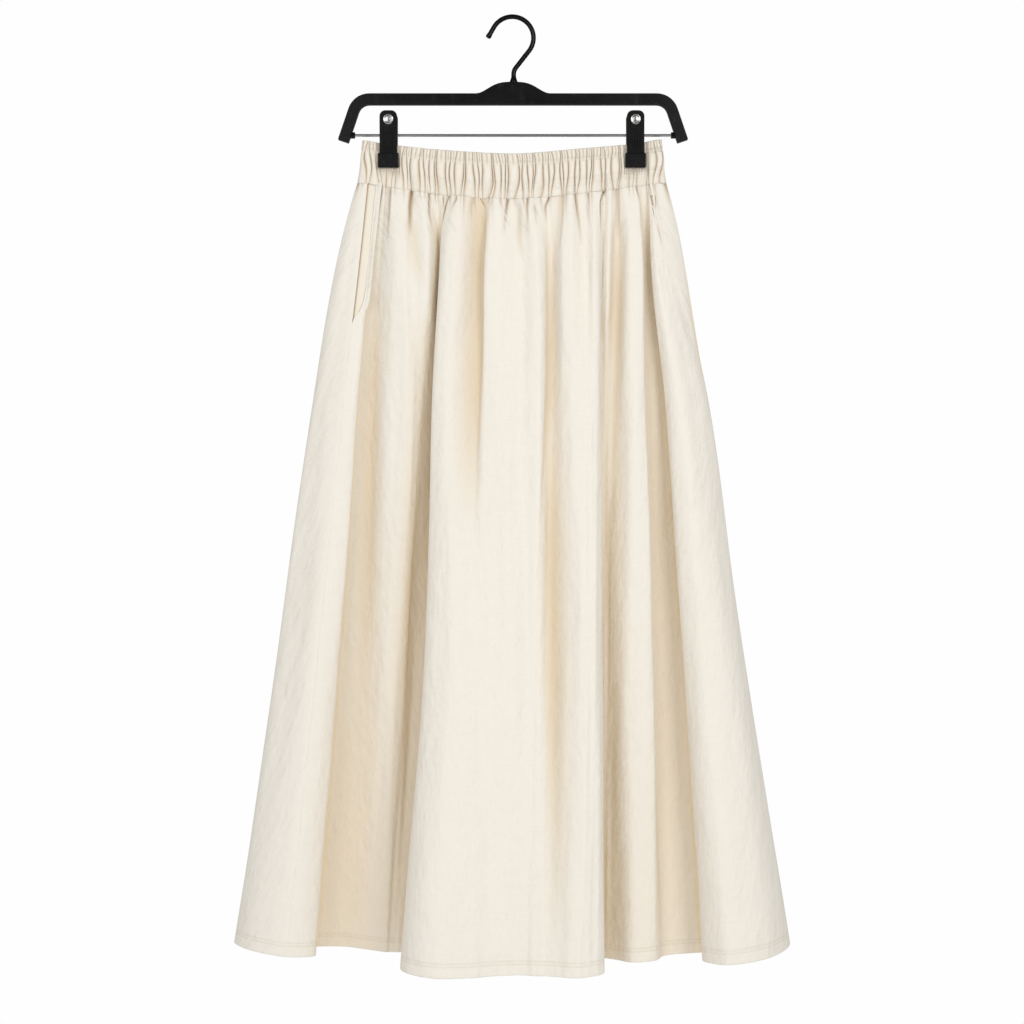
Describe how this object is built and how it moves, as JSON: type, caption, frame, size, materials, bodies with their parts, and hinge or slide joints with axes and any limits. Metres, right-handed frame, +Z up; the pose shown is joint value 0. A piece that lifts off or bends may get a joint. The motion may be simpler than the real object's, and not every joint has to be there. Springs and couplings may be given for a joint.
{
  "type": "skirt on a clip hanger",
  "caption": "Long cream cotton skirt with a gathered elastic waist, deep soft folds and side pockets, held by the two clips of a black plastic hanger",
  "frame": {"origin": "underside of the hook's bend, where a rail carries it", "axes": "+X to the viewer's right, +Y away from the viewer (front of the skirt towards -Y), +Z up"},
  "size_m": [0.6048, 0.2014, 1.0274],
  "materials": {
    "cotton": "plain cream cotton twill, matte, softly creased",
    "black_plastic": "moulded near-black plastic with a satin sheen",
    "steel": "bright drawn steel"
  },
  "bodies": {
    "root": {"front_panel": "cotton", "back_panel": "cotton", "waistband_front": "cotton", "waistband_back": "cotton", "pocket_facing_left": "cotton", "hanger_bar": "black_plastic", "hanger_hook": "black_plastic", "hanger_rod": "steel", "clip_left_front_jaw": "black_plastic", "clip_left_front_rivet": "steel", "clip_left_back_jaw": "black_plastic", "clip_left_back_rivet": "steel", "clip_right_front_jaw": "black_plastic", "clip_right_front_rivet": "steel", "clip_right_back_jaw": "black_plastic", "clip_right_back_rivet": "steel"}
  },
  "joints": []
}
